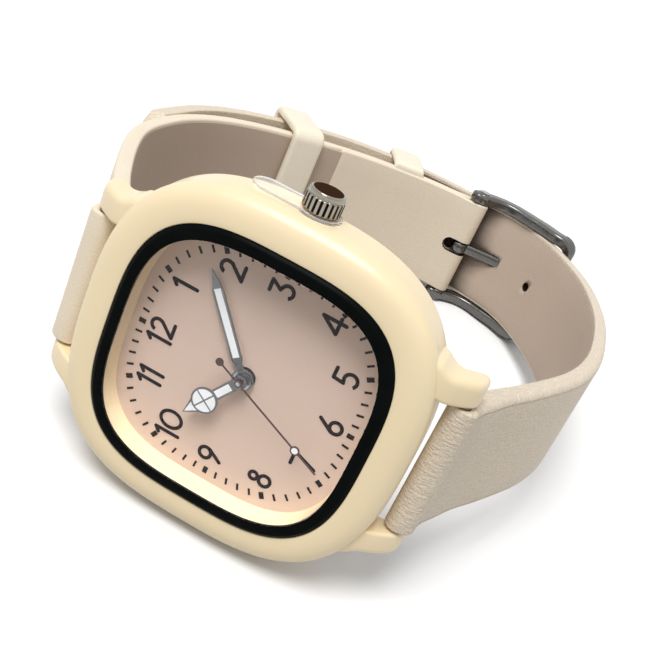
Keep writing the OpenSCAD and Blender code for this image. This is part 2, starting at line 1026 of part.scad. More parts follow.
module strap_holes() {
    for (i = [-holes_lug_side:holes_tip_side])
        if (i != 0)
            on_curve(curve_6, hole_place(i), -1)
                translate([0, 0, -cut])
                    rotate(90)
                        cylinder(r = hole_r, h = strap_t + 2 * cut, $fn = 24);
    across(tongue_w + 2 * tongue_gap)
        ribbon(tongue_line, -1, -tongue_t / 2 - tongue_gap, tongue_t / 2 + tongue_gap, 0,
            len(tongue_line) - 1);
}

module strap_6_leather() {
    color("antiquewhite")
        difference() {
            bars(strap_w) {
                ribbon(curve_6, -1, lining_t, strap_t, 0, last_6);
                disc_at([-bar_y, bar_z], roll_r);
            }
            across(strap_w + 2 * cut)
                disc_at([-bar_y, bar_z], roll_bore);
            strap_holes();
            tail_cut();
        }
}

module strap_6_lining() {
    color("tan")
        difference() {
            across(strap_w)
                ribbon(curve_6, -1, 0, lining_t, lining_start, last_6);
            strap_holes();
            tail_cut();
        }
}

// Keepers and buckle.

function corner(c, r, a0) = [for (i = [0:6]) let (a = a0 + 15 * i) c + r * [cos(a), sin(a)]];
function round_rect(w, h, r) = concat(corner([w - r, h - r], r, 0),
    corner([r - w, h - r], r, 90), corner([r - w, r - h], r, 180), corner([w - r, r - h], r, 270));

// A loop round both layers, from depth lo to depth hi of the strap's curve.
module keeper(k, lo, hi) {
    half_w = strap_w / 2 + keeper_side_gap;
    half_h = (hi - lo) / 2;
    on_curve(curve_12, k, 1)
        translate([0, 0, lo + half_h])
            rotate([90, 0, 0])
                translate([0, 0, -keeper_len / 2])
                    linear_extrude(height = keeper_len)
                        difference() {
                            polygon(round_rect(half_w + keeper_t, half_h + keeper_t,
                                keeper_round));
                            polygon(round_rect(half_w, half_h, 0.4));
                        }
}

module fixed_keeper() {
    color("antiquewhite")
        keeper(fixed_at, -keeper_under, fixed_over);
}

module free_keeper() {
    color("antiquewhite")
        keeper(free_at, -keeper_under, free_over);
}

module buckle_frame() {
    arm = bez(pivot, pivot - [7.7, 6.1], catch_at, 10);
    color("silver") {
        for (s = [-1, 1])
            translate([s * (arm_in + arm_out) / 2, 0, 0])
                across(arm_out - arm_in)
                    difference() {
                        union() {
                            ribbon(arm, -1, -arm_t / 2, arm_t / 2, 0, 10);
                            disc_at(pivot, eye_r);
                            disc_at(catch_at, eye_r);
                        }
                        disc_at(pivot, pivot_r);
                    }
        round_bar(catch_at, catch_r, -arm_in, arm_in);
    }
}

module buckle_bar() {
    color("silver")
        round_bar(pivot, pivot_r, -arm_out, arm_out);
}

tongue_line = concat(
    bez(pivot - [0.3, 0], pivot - [5.2, 1.2], pivot - [10.1, 1.9], 6),
    bez(pivot - [11.3, 1.9], pivot - [14.7, 1.4], pivot - [16.9, -0.5], 5));

module buckle_tongue() {
    color("silver")
        difference() {
            bars(tongue_w) {
                ribbon(tongue_line, -1, -tongue_t / 2, tongue_t / 2, 0, len(tongue_line) - 1);
                disc_at(pivot, eye_r);
            }
            across(tongue_w + 2 * cut)
                disc_at(pivot, pivot_r + run_gap);
        }
}

place() mid_case();
place() glass_ring();
place() crystal();
place() dial();
place() dial_feet();
place() numerals();
place() minute_track();
place() case_back();
place() back_gasket();
place() movement_holder();
place() main_plate();
place() circuit_board();
place() train_bridge();
place() battery();
place() battery_clamp();
place() coil();
place() stator();
place() crown_tube();
place() crown_shim();
place() setting_pinion();
place() stem();
place() crown();
place() crown_gasket();
place() minute_hand();
place() minute_lume();
place() minute_pipe();
place() hour_hand();
place() hour_lume();
place() hour_pipe();
place() seconds_hand();
place() seconds_lume();
place() seconds_arbor();
place() spring_bars();
place() strap_12_leather();
place() strap_12_lining();
place() strap_6_leather();
place() strap_6_lining();
place() fixed_keeper();
place() free_keeper();
place() buckle_frame();
place() buckle_bar();
place() buckle_tongue();
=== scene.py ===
import json
import math
import bmesh
import bpy
from mathutils import Matrix, Vector


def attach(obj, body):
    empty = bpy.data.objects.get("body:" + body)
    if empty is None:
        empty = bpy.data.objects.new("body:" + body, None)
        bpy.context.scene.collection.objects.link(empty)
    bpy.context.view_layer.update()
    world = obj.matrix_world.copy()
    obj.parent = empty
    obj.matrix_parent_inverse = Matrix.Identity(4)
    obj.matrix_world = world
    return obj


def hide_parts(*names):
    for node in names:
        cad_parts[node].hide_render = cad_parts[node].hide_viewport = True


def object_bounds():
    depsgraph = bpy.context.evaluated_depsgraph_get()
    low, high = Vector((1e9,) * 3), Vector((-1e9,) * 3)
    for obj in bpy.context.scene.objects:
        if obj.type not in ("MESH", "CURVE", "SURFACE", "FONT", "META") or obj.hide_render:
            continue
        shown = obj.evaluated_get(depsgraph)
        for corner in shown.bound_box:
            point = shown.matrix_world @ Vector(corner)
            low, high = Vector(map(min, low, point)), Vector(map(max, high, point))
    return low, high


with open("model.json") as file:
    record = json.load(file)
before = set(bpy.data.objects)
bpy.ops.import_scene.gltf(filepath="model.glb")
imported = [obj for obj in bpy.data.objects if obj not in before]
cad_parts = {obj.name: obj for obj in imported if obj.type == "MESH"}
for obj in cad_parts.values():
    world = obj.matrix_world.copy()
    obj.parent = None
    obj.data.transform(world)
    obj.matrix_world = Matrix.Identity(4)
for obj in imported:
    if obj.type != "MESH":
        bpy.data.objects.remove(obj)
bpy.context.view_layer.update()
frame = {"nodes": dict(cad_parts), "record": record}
nodes = frame["nodes"]
scene = bpy.context.scene

# Every shape below is in millimetres in the watch's own axes (+X to 3 o'clock, +Y to
# 12 o'clock, +Z out of the dial). row() turns a point of it into the shared frame, where
# the watch stands on its 9 o'clock side and leans back, and into metres.
MM = 0.001
LEAN = math.radians(7.7)
BACK_Z = -4.4


def row(p):
    x, y, z = p
    q0, q1, q2 = -y, -z + BACK_Z, x
    c, s = math.cos(LEAN), math.sin(LEAN)
    return Vector((q0, c * q1 + s * q2, -s * q1 + c * q2)) * MM


def srgb(r, g, b):
    """The linear colour of screen values from 0 to 255."""
    def lin(v):
        v /= 255
        return v / 12.92 if v <= 0.04045 else ((v + 0.055) / 1.055) ** 2.4
    return (lin(r), lin(g), lin(b), 1)


def shade(c, f):
    return (c[0] * f, c[1] * f, c[2] * f, 1)


# Node helpers. Sizes in materials are in metres, and noise scales in cells per metre.
def new_material(name):
    mat = bpy.data.materials.new(name)
    mat.use_nodes = True
    nt = mat.node_tree
    return mat, nt, nt.nodes["Principled BSDF"]


def coords(nt, kind="Object", scale=(1, 1, 1)):
    tc = nt.nodes.new("ShaderNodeTexCoord")
    mp = nt.nodes.new("ShaderNodeMapping")
    mp.inputs["Scale"].default_value = scale
    nt.links.new(tc.outputs[kind], mp.inputs["Vector"])
    return mp.outputs["Vector"]


def noise(nt, vec, scale, detail=3.0, rough=0.5):
    n = nt.nodes.new("ShaderNodeTexNoise")
    n.inputs["Scale"].default_value = scale
    n.inputs["Detail"].default_value = detail
    n.inputs["Roughness"].default_value = rough
    nt.links.new(vec, n.inputs["Vector"])
    return n.outputs["Fac"]


def spread(nt, value, lo, hi, a=0.3, b=0.7):
    """Maps a to b, by default where a noise has most of its values, onto lo to hi."""
    m = nt.nodes.new("ShaderNodeMapRange")
    m.inputs["From Min"].default_value = a
    m.inputs["From Max"].default_value = b
    m.inputs["To Min"].default_value = lo
    m.inputs["To Max"].default_value = hi
    nt.links.new(value, m.inputs["Value"])
    return m.outputs["Result"]


def calc(nt, operation, *values):
    """A Math node on sockets and numbers."""
    m = nt.nodes.new("ShaderNodeMath")
    m.operation = operation
    for sock, v in zip(m.inputs, values):
        if isinstance(v, (int, float)):
            sock.default_value = v
        else:
            nt.links.new(v, sock)
    return m.outputs[0]


def mixed(nt, fac, a, b):
    """The colour a where fac is 0 and b where it is 1; each is a colour or a socket."""
    m = nt.nodes.new("ShaderNodeMix")
    m.data_type = "RGBA"
    nt.links.new(fac, m.inputs["Factor"])
    for sock, v in ((m.inputs[6], a), (m.inputs[7], b)):
        if isinstance(v, tuple):
            sock.default_value = v
        else:
            nt.links.new(v, sock)
    return m.outputs[2]


def bump(nt, height, distance, strength, normal=None):
    b = nt.nodes.new("ShaderNodeBump")
    b.inputs["Distance"].default_value = distance
    b.inputs["Strength"].default_value = strength
    nt.links.new(height, b.inputs["Height"])
    if normal is not None:
        nt.links.new(normal, b.inputs["Normal"])
    return b.outputs["Normal"]


# Kinds of material.
COAT_ROUGH = 0.08


def plain(name, colour, rough, metal=0.0, vary=0.04, scale=400, grain=1500, depth=0.000004,
          rough_vary=0.05, coat=0.0, spec=0.5):
    """A moulded, painted or polished surface, with soft tone changes and a fine grain."""
    mat, nt, bsdf = new_material(name)
    vec = coords(nt)
    soft = noise(nt, vec, scale)
    fine = noise(nt, vec, grain, 4)
    tone = mixed(nt, spread(nt, soft, 0, 1), shade(colour, 1 - vary), shade(colour, 1 + vary))
    nt.links.new(tone, bsdf.inputs["Base Color"])
    nt.links.new(spread(nt, fine, rough - rough_vary, rough + rough_vary),
                 bsdf.inputs["Roughness"])
    nt.links.new(bump(nt, fine, depth, strength=0.6), bsdf.inputs["Normal"])
    bsdf.inputs["Metallic"].default_value = metal
    bsdf.inputs["Coat Weight"].default_value = coat
    bsdf.inputs["Coat Roughness"].default_value = COAT_ROUGH
    bsdf.inputs["Specular IOR Level"].default_value = spec
    return mat


def brushed(name, colour, rough, stretch, depth=0.000003, vary=0.1, rough_vary=0.08):
    """Metal with fine lines along the axis of the smallest stretch."""
    mat, nt, bsdf = new_material(name)
    lines = noise(nt, coords(nt, scale=stretch), 1, 5, 0.6)
    tone = mixed(nt, spread(nt, lines, 0, 1), shade(colour, 1 - vary), shade(colour, 1 + vary))
    nt.links.new(tone, bsdf.inputs["Base Color"])
    nt.links.new(spread(nt, lines, rough - rough_vary, rough + rough_vary),
                 bsdf.inputs["Roughness"])
    nt.links.new(bump(nt, lines, depth, strength=0.5), bsdf.inputs["Normal"])
    bsdf.inputs["Metallic"].default_value = 1.0
    return mat


WARP = 0.0003                       # how far the grain's cells are pulled out of shape
CREASE_EDGE = 0.22                  # half of a crease's width, in cells
PATCH_SCALE, PATCH_TONES = 90, (0.965, 1.03)
STREAK_SCALE = (700, 3200, 1)       # short along the strap, and thin across it
STREAK_FADE = (0.001, 0.022)        # the distances from the lug between which they fade
# The last is the tone of the painted shade in the streaks.
STREAK_FAR, STREAK_DEPTH, STREAK_SHADE_TONE = 0.35, 2.4, 0.84
# Painted shade where another surface lies close: the ambient occlusion's samples, the range it
# fades over, and its darkest tone.
PAINTED_SHADE_SAMPLES, PAINTED_SHADE_OPEN, PAINTED_SHADE_TONE = 8, (0.55, 0.94), 0.12


def leather(name, colour, pebble, depth, rough, streak=0.0, crease_shade_tone=0.95, painted_shade_reach=0.0,
            rough_vary=0.07):
    """Grained leather on UVs in metres, u along the strap.

    pebble is the grain's scale, and the grain's tone is painted shade in the creases between its
    cells.
    streak is the strength of the short creases that fade with the distance from the lug,
    bumped and darkened with painted shade.
    Its last argument is the reach within which a surface close by darkens this one: painted
    shade, by ambient occlusion.
    """
    mat, nt, bsdf = new_material(name)
    vec = coords(nt, "UV")
    warp = nt.nodes.new("ShaderNodeTexNoise")
    warp.inputs["Scale"].default_value = pebble * 0.5
    nt.links.new(vec, warp.inputs["Vector"])
    warped = nt.nodes.new("ShaderNodeVectorMath")
    warped.operation = "MULTIPLY_ADD"
    warped.inputs[1].default_value = (WARP, WARP, WARP)
    nt.links.new(warp.outputs["Color"], warped.inputs[0])
    nt.links.new(vec, warped.inputs[2])
    cells = nt.nodes.new("ShaderNodeTexVoronoi")
    cells.feature = "DISTANCE_TO_EDGE"
    cells.inputs["Scale"].default_value = pebble
    nt.links.new(warped.outputs["Vector"], cells.inputs["Vector"])
    crease = spread(nt, cells.outputs["Distance"], 0, 1, 0, CREASE_EDGE)
    fine = noise(nt, vec, pebble * 1.6, 3)
    normal = bump(nt, calc(nt, "MULTIPLY_ADD", fine, 0.5, crease), depth, strength=0.55)
    soft = noise(nt, vec, PATCH_SCALE, 2)
    tone = mixed(nt, spread(nt, soft, 0, 1), *[shade(colour, f) for f in PATCH_TONES])
    # Painted shade in the grain's creases.
    tone = mixed(nt, crease, shade(colour, crease_shade_tone), tone)
    if streak:
        uv = nt.nodes.new("ShaderNodeSeparateXYZ")
        nt.links.new(vec, uv.inputs[0])
        near = spread(nt, uv.outputs["X"], streak, STREAK_FAR * streak, *STREAK_FADE)
        lines = noise(nt, coords(nt, "UV", STREAK_SCALE), 1, 4, 0.6)
        streaks = calc(nt, "MULTIPLY", spread(nt, lines, 0, 1, 0.4, 0.62), near)
        normal = bump(nt, streaks, depth * STREAK_DEPTH, 0.6, normal)
        # Painted shade in the streaks.
        tone = mixed(nt, streaks, tone, shade(colour, STREAK_SHADE_TONE))
    # Painted shade: darker where another surface lies close, by ambient occlusion.
    if painted_shade_reach:
        near = nt.nodes.new("ShaderNodeAmbientOcclusion")
        near.samples = PAINTED_SHADE_SAMPLES
        near.inputs["Distance"].default_value = painted_shade_reach
        outside_painted_shade = spread(nt, near.outputs["AO"], 0, 1, *PAINTED_SHADE_OPEN)
        tone = mixed(nt, outside_painted_shade, shade(colour, PAINTED_SHADE_TONE), tone)
    nt.links.new(tone, bsdf.inputs["Base Color"])
    nt.links.new(spread(nt, fine, rough - rough_vary, rough + rough_vary),
                 bsdf.inputs["Roughness"])
    nt.links.new(normal, bsdf.inputs["Normal"])
    bsdf.inputs["Specular IOR Level"].default_value = 0.4
    return mat


CLEAR_SHADOW = (0.96, 0.96, 0.96, 1)


def clear(name, rough, tint, ior, clarity=1.0, spec=0.5):
    """Glass that lets the lamps' rays through, so what lies under it stays lit."""
    mat, nt, bsdf = new_material(name)
    bsdf.inputs["Base Color"].default_value = tint
    bsdf.inputs["Roughness"].default_value = rough
    bsdf.inputs["IOR"].default_value = ior
    bsdf.inputs["Transmission Weight"].default_value = clarity
    bsdf.inputs["Specular IOR Level"].default_value = spec
    path = nt.nodes.new("ShaderNodeLightPath")
    thin = nt.nodes.new("ShaderNodeBsdfTransparent")
    thin.inputs["Color"].default_value = CLEAR_SHADOW
    mix = nt.nodes.new("ShaderNodeMixShader")
    nt.links.new(path.outputs["Is Shadow Ray"], mix.inputs["Fac"])
    nt.links.new(bsdf.outputs[0], mix.inputs[1])
    nt.links.new(thin.outputs[0], mix.inputs[2])
    nt.links.new(mix.outputs[0], nt.nodes["Material Output"].inputs["Surface"])
    return mat


# The materials, by the record's slots and, for the scene's own pieces, a few more names.
CREAM = srgb(249, 229, 189)
# The second and third leathers are lighter copies of the first: painted light on the 12 o'clock
# strap and the keepers, which catch more of it.
LEATHER, LEATHER_SMOOTH_LIT, LEATHER_KEEPER_LIT = (srgb(236, 221, 199), srgb(243, 229, 206),
                                           srgb(252, 242, 220))
# The second lining is a lighter copy of the first: painted light on the inside of the 6 o'clock
# strap.
LINING, LINING_6_LIT = srgb(194, 174, 156), srgb(214, 194, 176)
M = {
    "case": plain("case_plastic", CREAM, 0.34, vary=0.012, scale=120, grain=900, coat=0.15),
    "black_ring": plain("black_ring", (0.003, 0.004, 0.004, 1), 0.28, vary=0.2,
                        rough_vary=0.03, spec=0.02),
    "dial": plain("dial_lacquer", srgb(207, 183, 168), 0.6, vary=0.015, scale=60, grain=6000,
                  depth=0.000002),
    "print": plain("dial_print", srgb(30, 18, 20), 0.6, vary=0.08, spec=0.0),
    "brass": plain("brass", srgb(196, 164, 98), 0.3, 1.0),
    "copper": brushed("copper_wire", srgb(180, 106, 66), 0.35, (9000, 9000, 200)),
    "steel": brushed("steel", srgb(176, 176, 178), 0.32, (300, 9000, 9000)),
    "chrome": plain("chrome", srgb(206, 204, 200), 0.12, 1.0, vary=0.03, rough_vary=0.04),
    "crown": plain("crown_chrome", srgb(160, 153, 141), 0.16, 1.0, vary=0.03, rough_vary=0.04),
    # Painted shade for the crown's grooves.
    "flute_shade": plain("crown_groove_shade", srgb(44, 38, 33), 0.3, 0.6, vary=0.06, spec=0.2),
    "gasket": plain("rubber", srgb(30, 30, 30), 0.7),
    "holder": plain("white_plastic", srgb(226, 226, 220), 0.5),
    "board": plain("board_green", srgb(26, 76, 48), 0.45),
    # The 6 o'clock strap: its streaks and grain creases are darkened with painted shade.
    "leather": leather("strap_leather", LEATHER, 2600, 0.00005, 0.47, streak=0.9,
                       crease_shade_tone=0.83),
    # Lighter copy of the strap leather: painted light.
    "smooth": leather("strap_leather_smooth", LEATHER_SMOOTH_LIT, 3000, 0.00002, 0.45),
    # Painted shade for the walls of the holes and the slot.
    "hole_shade": plain("leather_hole_shade", srgb(70, 52, 42), 0.8, spec=0.1),
    # Lighter copy of the strap leather: painted light.
    "keeper": leather("keeper_leather", LEATHER_KEEPER_LIT, 3000, 0.000015, 0.42),
    "lining": leather("strap_lining", LINING, 2800, 0.00002, 0.6),
    # The 6 o'clock lining: a lighter copy for painted light, with painted shade where another
    # surface lies close.
    "lining_6": leather("strap_lining_6_painted_light_and_shade", LINING_6_LIT, 2800, 0.00002, 0.6, painted_shade_reach=0.0035),
    "hand_grey": plain("hand_grey", srgb(112, 112, 114), 0.34, 0.9, vary=0.06),
    "hand_brown": plain("hand_brown", srgb(74, 48, 44), 0.4, 0.2),
    "lume": plain("hand_infill", srgb(238, 240, 242), 0.55, vary=0.02),
    "gunmetal": plain("buckle_metal", srgb(108, 107, 105), 0.24, 1.0, vary=0.06,
                      rough_vary=0.08),
    "cap": plain("crown_cap", srgb(56, 39, 28), 0.1, vary=0.05, rough_vary=0.02, spec=0.0),
    "crystal": clear("crystal", 0.0, (1, 1, 1, 1), 1.25, spec=0.1),
    "clear_film": clear("clear_plastic", 0.1, (0.88, 0.86, 0.84, 1), 1.12, clarity=0.8),
}

# Each CAD node gets the material of its slot. Those that a piece replaces are hidden later.
for part in frame["record"]["subparts"]:
    obj = nodes[part["node"]]
    obj.data.materials.clear()
    obj.data.materials.append(M[part["material_slot"]])


# Mesh helpers.
def mesh_of(name, verts, faces):
    mesh = bpy.data.meshes.new(name)
    mesh.from_pydata([row(v) for v in verts], [], faces)
    return mesh


def add(name, verts, faces, look, body, *stands_for, slot=None, sharp=32, uvs=None):
    """Makes a piece that rides a body, smooth but for edges of more than sharp degrees."""
    mesh = mesh_of(name, verts, faces)
    if uvs is not None:
        layer = mesh.uv_layers.new(name="uv")
        for loop in mesh.loops:
            layer.data[loop.index].uv = uvs[loop.vertex_index]
    bm = bmesh.new()
    bm.from_mesh(mesh)
    bmesh.ops.recalc_face_normals(bm, faces=bm.faces)
    for f in bm.faces:
        f.smooth = True
    for e in bm.edges:
        if len(e.link_faces) == 2 and e.calc_face_angle(0) > math.radians(sharp):
            e.smooth = False
    bm.to_mesh(mesh)
    bm.free()
    obj = bpy.data.objects.new(name, mesh)
    scene.collection.objects.link(obj)
    mesh.materials.append(look)
    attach(obj, body)
    if stands_for:
        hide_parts(*stands_for)
    return obj


def loft(rings, loop=False):
    """Closed rings of equal length, joined one to the next: a loop, or capped at its ends."""
    n = len(rings[0])
    verts = [p for r in rings for p in r]
    faces = []
    for k in range(len(rings) if loop else len(rings) - 1):
        a, b = k * n, ((k + 1) % len(rings)) * n
        faces += [(a + i, a + (i + 1) % n, b + (i + 1) % n, b + i) for i in range(n)]
    if not loop:
        faces += [tuple(range(n)), tuple(range(len(verts) - n, len(verts)))]
    return verts, faces


def joined(*parts):
    verts, faces = [], []
    for v, f in parts:
        base = len(verts)
        verts += v
        faces += [tuple(i + base for i in q) for q in f]
    return verts, faces


def cushion(half, sq, z, n=240):
    """A square with round sides: sq is 2 for a circle and grows with squareness."""
    ring = []
    for i in range(n):
        a = 2 * math.pi * i / n
        r = half * (abs(math.cos(a)) ** sq + abs(math.sin(a)) ** sq) ** (-1 / sq)
        ring.append((r * math.cos(a), r * math.sin(a), z))
    return ring


def arc(cx, cy, r, a0, a1, n):
    return [(cx + r * math.cos(math.radians(a0 + (a1 - a0) * i / n)),
             cy + r * math.sin(math.radians(a0 + (a1 - a0) * i / n))) for i in range(n + 1)]


def ease(t):
    t = min(max(t, 0), 1)
    return t * t * (3 - 2 * t)


# Case: one lofted skin of (half width, squareness, z), with a rounded foot, a rounded
# shoulder, a seat for the ring and glass, and the flange inside.
CASE_HALF, CASE_SQ, BEZEL_Z = 18, 2.76, 3
WALL_Z, FOOT_R, CAVITY_HALF, CAVITY_SQ = -3.06, 0.5, 15.2, 3
RING_HALF, RING_SQ, SEAT_Z = 14.3, 3.2, 2.82
GLASS_HALF, GLASS_SQ, FLANGE_HALF = 13.0, 3.3, 12.94
FACE_IN, LIP_R = RING_HALF + 0.12, 0.1
DOME_Z, DOME_POWER, DOME_STEPS = 0.2, 0.77, 20

profile = [(CAVITY_HALF, CAVITY_SQ, WALL_Z)]
profile += [(h, CASE_SQ, z) for h, z in
            arc(CASE_HALF - FOOT_R, WALL_Z + FOOT_R, FOOT_R, -90, 0, 5)]
profile += [(CASE_HALF, CASE_SQ, z) for z in (-1.6, -0.6)]
for i in range(DOME_STEPS + 1):
    a = math.pi / 2 * i / DOME_STEPS
    profile.append((FACE_IN + (CASE_HALF - FACE_IN) * math.cos(a) ** DOME_POWER,
                    CASE_SQ + (RING_SQ - CASE_SQ) * i / DOME_STEPS,
                    DOME_Z + (BEZEL_Z - DOME_Z) * math.sin(a) ** DOME_POWER))
profile += [(h, RING_SQ, z) for h, z in arc(FACE_IN, BEZEL_Z - LIP_R, LIP_R, 90, 180, 3)][1:]
profile += [(RING_HALF + 0.02, RING_SQ, SEAT_Z), (GLASS_HALF, GLASS_SQ, SEAT_Z),
            (FLANGE_HALF, GLASS_SQ, SEAT_Z - 0.06), (FLANGE_HALF, GLASS_SQ, 0.0),
            (CAVITY_HALF, CAVITY_SQ, 0.0)]
case = loft([cushion(*p) for p in profile], loop=True)

# Lugs: rounded-box sections from inside the wall out to a blunt, rounded tip. Their top,
# low and outer sides are given along y, and they flare where they leave the case.
LUG_IN, LUG_ROOT, LUG_TIP, LUG_NOSE = 7.95, 15.2, 20.95, 0.6
LUG_TOP = [(14, 1.75), (16.6, 1.3), (18, 0.8), (19.3, -0.05), (20.3, -0.95), (20.95, -1.8)]
LUG_LOW = [(14, -2.6), (16.8, -2.4), (18.2, -2.5), (19.4, -3.4), (20.3, -3.95), (20.95, -4.0)]
LUG_OUT = [(14, 12.1), (16.2, 11.3), (17.6, 10.95), (19.4, 10.8), (20.95, 10.6)]
LUG_RADII = (0.3, 0.3, 0.85, 0.4)
LUG_STEPS, NOSE_STEPS = 30, 8
FLARE, FLARE_FROM, FLARE_RUN = 0.45, 16.4, 1.7


def fair(points, y):
    """A smooth curve through points, rising or falling only where they do."""
    slope = [(v1 - v0) / (y1 - y0) for (y0, v0), (y1, v1) in zip(points, points[1:])]
    tangent = [slope[0]]
    tangent += [0 if a * b <= 0 else 2 * a * b / (a + b) for a, b in zip(slope, slope[1:])]
    tangent.append(slope[-1])
    last = len(points) - 2
    i = next((i for i in range(last) if y <= points[i + 1][0]), last)
    (y0, v0), (y1, v1) = points[i], points[i + 1]
    h = y1 - y0
    t = min(max((y - y0) / h, 0), 1)
    return (v0 * (1 + 2 * t) * (1 - t) ** 2 + tangent[i] * h * t * (1 - t) ** 2
            + v1 * t * t * (3 - 2 * t) - tangent[i + 1] * h * t * t * (1 - t))


def box_ring(x0, x1, z0, z1, y, radii):
    """A rounded rectangle at y: radii for lower in, lower out, upper out, upper in."""
    r0, r1, r2, r3 = radii
    pts = arc(x0 + r0, z0 + r0, r0, 180, 270, 5) + arc(x1 - r1, z0 + r1, r1, 270, 360, 5)
    pts += arc(x1 - r2, z1 - r2, r2, 0, 90, 7) + arc(x0 + r3, z1 - r3, r3, 90, 180, 5)
    return [(x, y, z) for x, z in pts]


def lug(sx, sy):
    ys = [LUG_ROOT + (LUG_TIP - LUG_NOSE - LUG_ROOT) * i / LUG_STEPS for i in range(LUG_STEPS)]
    ys += [LUG_TIP - LUG_NOSE * math.cos(math.pi / 2 * i / NOSE_STEPS)
           for i in range(NOSE_STEPS + 1)]
    rings = []
    for y in ys:
        top, low, out = fair(LUG_TOP, y), fair(LUG_LOW, y), fair(LUG_OUT, y)
        flare = FLARE * max(0.0, 1 - max(0.0, y - FLARE_FROM) / FLARE_RUN) ** 2
        into_nose = max(0.0, LUG_NOSE - (LUG_TIP - y))
        pinch = 0.8 * (LUG_NOSE - math.sqrt(max(0.0, LUG_NOSE ** 2 - into_nose ** 2)))
        ring = box_ring(LUG_IN + 0.5 * pinch + 1.5 * flare, out - pinch + flare, low + pinch,
                        top - 0.6 * pinch, y, LUG_RADII)
        rings.append([(sx * x, sy * yy, z) for x, yy, z in ring])
    return loft(rings)


add("case_body", *joined(case, *[lug(sx, sy) for sx in (1, -1) for sy in (1, -1)]), M["case"],
    "watch", "mid_case", slot="case", sharp=40)

# Black ring, and the crystal bedded in its seat, where its edge mirrors nothing.
ring_profile = [(12.95, GLASS_SQ, SEAT_Z), (RING_HALF, RING_SQ, SEAT_Z),
                (RING_HALF, RING_SQ, 2.9)]
ring_profile += [(RING_HALF - 0.38 * t - 0.02, RING_SQ + 0.05 * t, 2.95 + 0.33 * t)
                 for t in (0, 0.5, 1)]
ring_profile += [(13.85, 3.25, 3.3), (12.97, GLASS_SQ, 3.3), (12.92, GLASS_SQ, 3.26),
                 (12.92, GLASS_SQ, SEAT_Z + 0.04)]
add("glass_bezel", *loft([cushion(*p) for p in ring_profile], loop=True), M["black_ring"],
    "watch", "glass_ring", slot="black_ring", sharp=28)
crystal_profile = [(GLASS_HALF, GLASS_SQ, 2.1), (GLASS_HALF, GLASS_SQ, 3.2),
                   (12.9, GLASS_SQ, 3.28)]
add("crystal_disc", *loft([cushion(*p) for p in crystal_profile]), M["crystal"],
    "watch", "crystal", slot="crystal", sharp=25)

# Case back: a chamfered cushion with a groove round its flat field.
back_profile = [(16.45, 3, WALL_Z), (16.6, 3, -3.2), (16.6, 3, -3.95), (16.2, 3, -4.3),
                (14.6, 3, -4.36), (14.4, 3, -4.28), (14.2, 3, -4.28), (14.0, 3, BACK_Z)]
add("back_plate", *loft([cushion(*p) for p in back_profile]), M["steel"], "watch", "case_back",
    slot="steel", sharp=20)

# Crown: rounded flutes, a stepped bright rim and a dark polished cap, as rings of
# (x, radius, depth of the flutes).
CROWN_R, STEM_Z, FLUTES, FLUTE_POINTS, CAP_POINTS = 1.9, -1, 22, 8, 4
FLUTE_WIDTH, FLUTE_SHAPE = 1.6, 1.5


def crown_ring(x, r, depth, n=FLUTE_POINTS):
    out = []
    for i in range(FLUTES * n):
        a = 2 * math.pi * i / (FLUTES * n)
        rib = 0.5 - 0.5 * math.cos(FLUTES * a)
        q = r - depth * (1 - min(1.0, FLUTE_WIDTH * rib)) ** FLUTE_SHAPE
        out.append((x, q * math.cos(a), STEM_Z + q * math.sin(a)))
    return out


crown_rings = [(18.42, 1.7, 0.02), (18.42, 1.82, 0.06), (18.5, CROWN_R, 0.15),
               (18.62, CROWN_R, 0.19), (19.72, CROWN_R, 0.19), (19.84, 1.88, 0.12),
               (19.9, 1.8, 0.0), (19.92, 1.74, 0), (20.04, 1.7, 0), (20.1, 1.78, 0),
               (20.22, 1.78, 0), (20.3, 1.74, 0), (20.32, 1.64, 0), (20.3, 1.62, 0),
               (20.36, 1.62, 0), (20.44, 1.56, 0), (20.46, 1.5, 0)]
crown = add("crown_knurl", *loft([crown_ring(*p) for p in crown_rings]), M["crown"], "crown",
            "crown", slot="chrome", sharp=45)
# The faces deep in the flutes take a dark metal: painted shade in the grooves.
crown.data.materials.append(M["flute_shade"])
for face in crown.data.polygons:
    ring, at = divmod(face.vertices[0], FLUTES * FLUTE_POINTS)
    if 1 < ring < 5 and at % FLUTE_POINTS in (6, 7, 0, 1):
        face.material_index = 1
cap_rings = [(20.4, 1.5, 0), (20.47, 1.49, 0), (20.49, 1.3, 0), (20.5, 0.8, 0), (20.5, 0.3, 0)]
add("crown_cap", *loft([crown_ring(*p, n=CAP_POINTS) for p in cap_rings]), M["cap"], "crown",
    slot="chrome", sharp=40)

# Straps: the leather wraps each spring bar and runs on as the strap's outer layer. The
# paths are the CAD's, (y, z) of the side at the wrist, with more steps to each point.
STRAP_W, STRAP_T = 15.3, 1.9
BAR_Y, BAR_Z, ROLL_R, BORE_R = 19.7, -1.9, 1.35, 0.8
PIVOT = (-8.3, -67.2)
PATH_12 = [
    (18.75, -2.2), (19.3, -5), (20.9, -8.4), (23.8, -13.6), (27.2, -21), (29.2, -27),
    (29.6, -32.5), (28.9, -38.8), (26.5, -45), (22.2, -50.7), (16.1, -56.2), (9, -61),
    (1.5, -64.3), (-4, -65.7), (-8.4, -65.9)]
PATH_6 = [
    (-18.75, -2.2), (-19.4, -4.6), (-21.3, -8), (-24.6, -14), (-28.2, -22),
    (-29.9, -29.5), (-30.1, -38), (-29.2, -46.2), (-26.7, -54.7), (-23.1, -61),
    (-18.9, -65.9), (-14.4, -68.3), (-8.3, -69.1), (-1.5, -69.3), (5, -68.4),
    (11.4, -66.2), (16.9, -62.8), (21.6, -58.6), (25.6, -54), (28.7, -49),
    (30.5, -43.8), (31.3, -38.5), (31.7, -34.5), (31.75, -30.5)]
STEPS, CAD_STEPS = 12, 4


